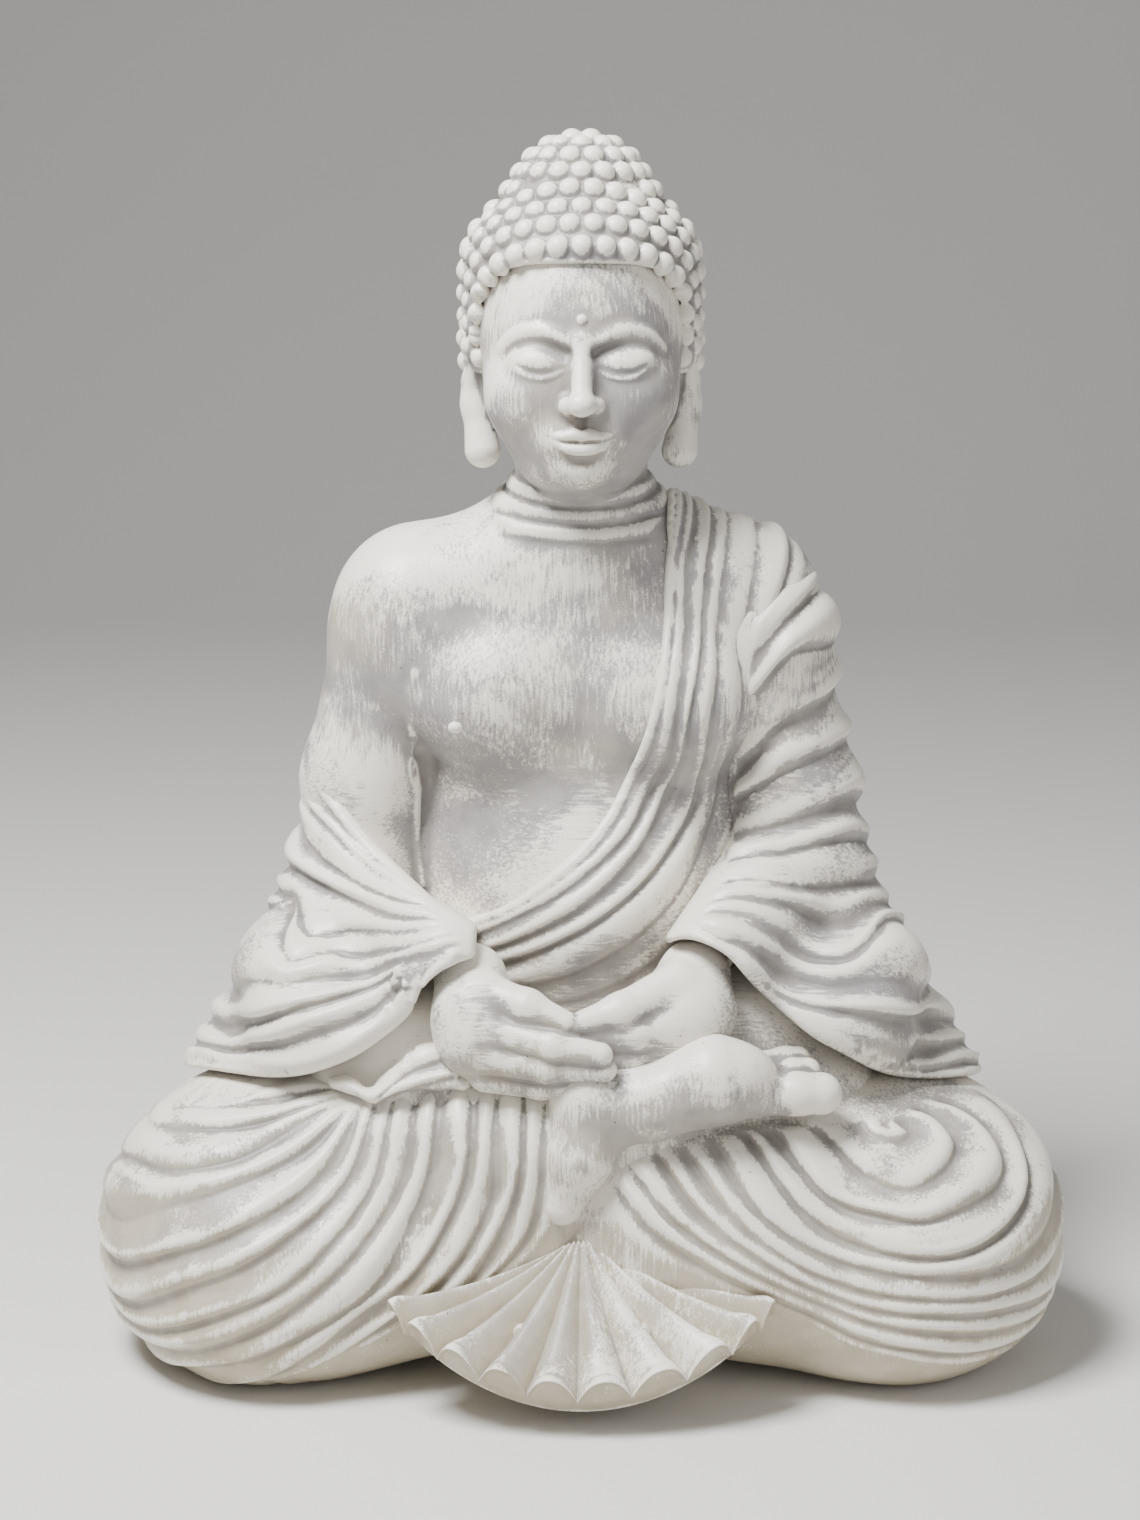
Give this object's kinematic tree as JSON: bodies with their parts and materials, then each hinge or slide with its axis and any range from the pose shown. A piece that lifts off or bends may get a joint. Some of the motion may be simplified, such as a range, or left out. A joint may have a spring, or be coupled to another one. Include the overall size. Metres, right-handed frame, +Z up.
{
  "type": "buddha statue",
  "caption": "Seated meditating buddha garden statue in washed cast stone, hollow cast in bonded sections, with pleated robe and a fan-shaped apron.",
  "frame": {"origin": "on the ground, under the middle of the bounding box", "axes": "+Z up, the figure faces -Y, its own left side is at +X"},
  "size_m": [0.4341, 0.2595, 0.5397],
  "materials": {
    "washed_cast_stone": "grey cast stone with a dry-brushed white wash, satin",
    "grey_base_board": "matt",
    "black_rubber": "matt",
    "zinc_steel": "bright zinc",
    "glass_fibre_rod": "matt"
  },
  "bodies": {
    "root": {"lap_casting": "washed_cast_stone", "torso_casting": "washed_cast_stone", "head_casting": "washed_cast_stone", "right_arm_casting": "washed_cast_stone", "left_arm_casting": "washed_cast_stone", "hands_casting": "washed_cast_stone", "foot_casting": "washed_cast_stone", "apron_casting": "washed_cast_stone", "base_plate": "grey_base_board", "filler_plug": "black_rubber", "base_screw_1": "zinc_steel", "base_screw_2": "zinc_steel", "base_screw_3": "zinc_steel", "base_screw_4": "zinc_steel", "base_screw_5": "zinc_steel", "base_screw_6": "zinc_steel", "arm_dowel_right": "glass_fibre_rod", "arm_dowel_left": "glass_fibre_rod", "wrist_dowel_right": "glass_fibre_rod", "wrist_dowel_left": "glass_fibre_rod", "foot_dowel": "glass_fibre_rod", "apron_dowel_right": "glass_fibre_rod", "apron_dowel_left": "glass_fibre_rod"}
  },
  "joints": []
}
